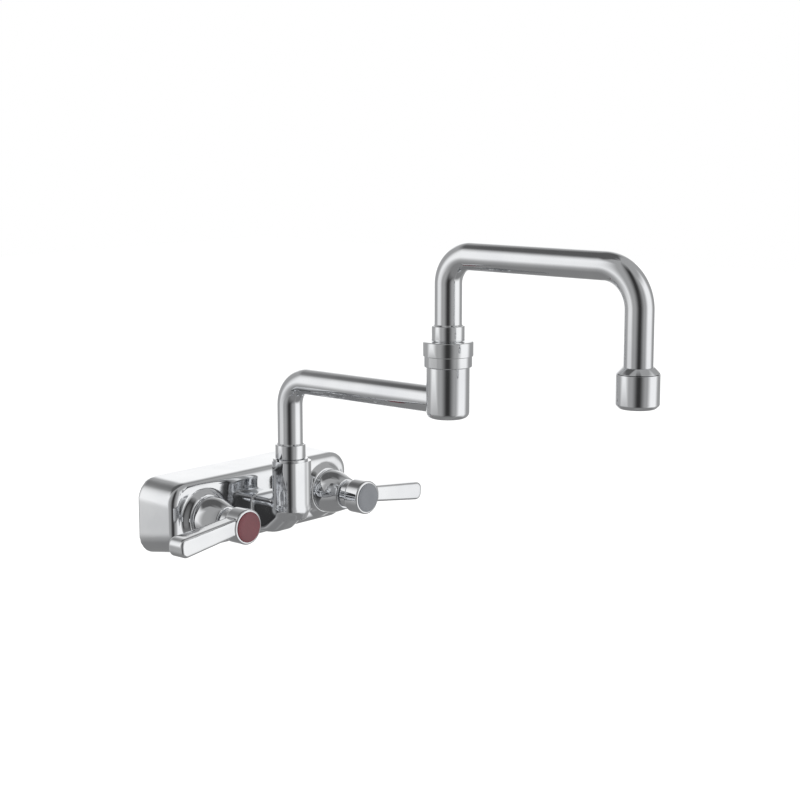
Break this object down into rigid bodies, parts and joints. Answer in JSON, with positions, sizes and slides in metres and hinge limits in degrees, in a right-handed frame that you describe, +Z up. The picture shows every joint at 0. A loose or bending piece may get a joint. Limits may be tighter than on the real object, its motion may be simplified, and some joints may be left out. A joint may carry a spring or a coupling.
{
  "type": "wall faucet",
  "caption": "Chromed wall faucet with two lever handles on a flat-backed body and a double-jointed swing spout that folds out over a sink or range.",
  "frame": {"origin": "on the wall, at the height of the valve axes and midway between the two inlets", "axes": "+X to the user's right (cold side), +Y into the wall, +Z up; the spout stands out of the wall towards -Y"},
  "size_m": [0.2044, 0.3045, 0.1881],
  "materials": {
    "polished_chrome": "bright chrome plate on brass, mirror polished",
    "raw_brass": "machined, unplated",
    "rubber": "matt black moulded rubber",
    "disc_ceramic": "lapped white alumina",
    "cage_plastic": "moulded white acetal",
    "washer_plastic": "dark grey low-friction plastic",
    "spring_steel": "plain stainless steel",
    "hot_index": "dark red moulded plastic",
    "cold_index": "slate grey moulded plastic"
  },
  "bodies": {
    "faucet_body": {"body_casting": "polished_chrome", "hot_seat_seal": "rubber", "hot_cartridge_cage": "cage_plastic", "hot_fixed_disc": "disc_ceramic", "hot_cartridge_body": "raw_brass", "hot_face_ring": "rubber", "hot_bonnet_cap": "polished_chrome", "cold_seat_seal": "rubber", "cold_cartridge_cage": "cage_plastic", "cold_fixed_disc": "disc_ceramic", "cold_cartridge_body": "raw_brass", "cold_face_ring": "rubber", "cold_bonnet_cap": "polished_chrome", "hub_gland_nut": "polished_chrome", "hub_thrust_washer": "washer_plastic"},
    "hot_handle": {"hot_moving_disc": "disc_ceramic", "hot_spindle": "raw_brass", "hot_spindle_rings": "rubber", "hot_spindle_clip": "spring_steel", "hot_lever": "polished_chrome", "hot_handle_screw": "spring_steel", "hot_index_button": "hot_index"},
    "cold_handle": {"cold_moving_disc": "disc_ceramic", "cold_spindle": "raw_brass", "cold_spindle_rings": "rubber", "cold_spindle_clip": "spring_steel", "cold_lever": "polished_chrome", "cold_handle_screw": "spring_steel", "cold_index_button": "cold_index"},
    "lower_spout": {"lower_swivel_stem": "polished_chrome", "lower_stem_rings": "rubber", "lower_spout_tube": "polished_chrome", "joint_block": "polished_chrome", "joint_thrust_washer": "washer_plastic", "joint_nut": "polished_chrome"},
    "upper_spout": {"upper_swivel_stem": "polished_chrome", "upper_stem_rings": "rubber", "upper_spout_tube": "polished_chrome", "outlet_adapter": "polished_chrome", "aerator_shell": "polished_chrome", "outlet_washer": "rubber", "aerator_insert": "cage_plastic", "aerator_screen": "spring_steel"}
  },
  "joints": [
    {"name": "hot_handle_turn", "type": "hinge", "parent": "faucet_body", "child": "hot_handle", "pos_m": [-0.0508, -0.045, 0], "axis": [0, -1, 0], "range_deg": [0, 90]},
    {"name": "cold_handle_turn", "type": "hinge", "parent": "faucet_body", "child": "cold_handle", "pos_m": [0.0508, -0.045, 0], "axis": [0, 1, 0], "range_deg": [0, 90]},
    {"name": "spout_swing", "type": "hinge", "parent": "faucet_body", "child": "lower_spout", "pos_m": [0, -0.0514, 0.02], "axis": [0, 0, 1], "range_deg": [-90, 90]},
    {"name": "spout_tip_swing", "type": "hinge", "parent": "lower_spout", "child": "upper_spout", "pos_m": [0, -0.1714, 0.1], "axis": [0, 0, 1], "continuous": true}
  ]
}
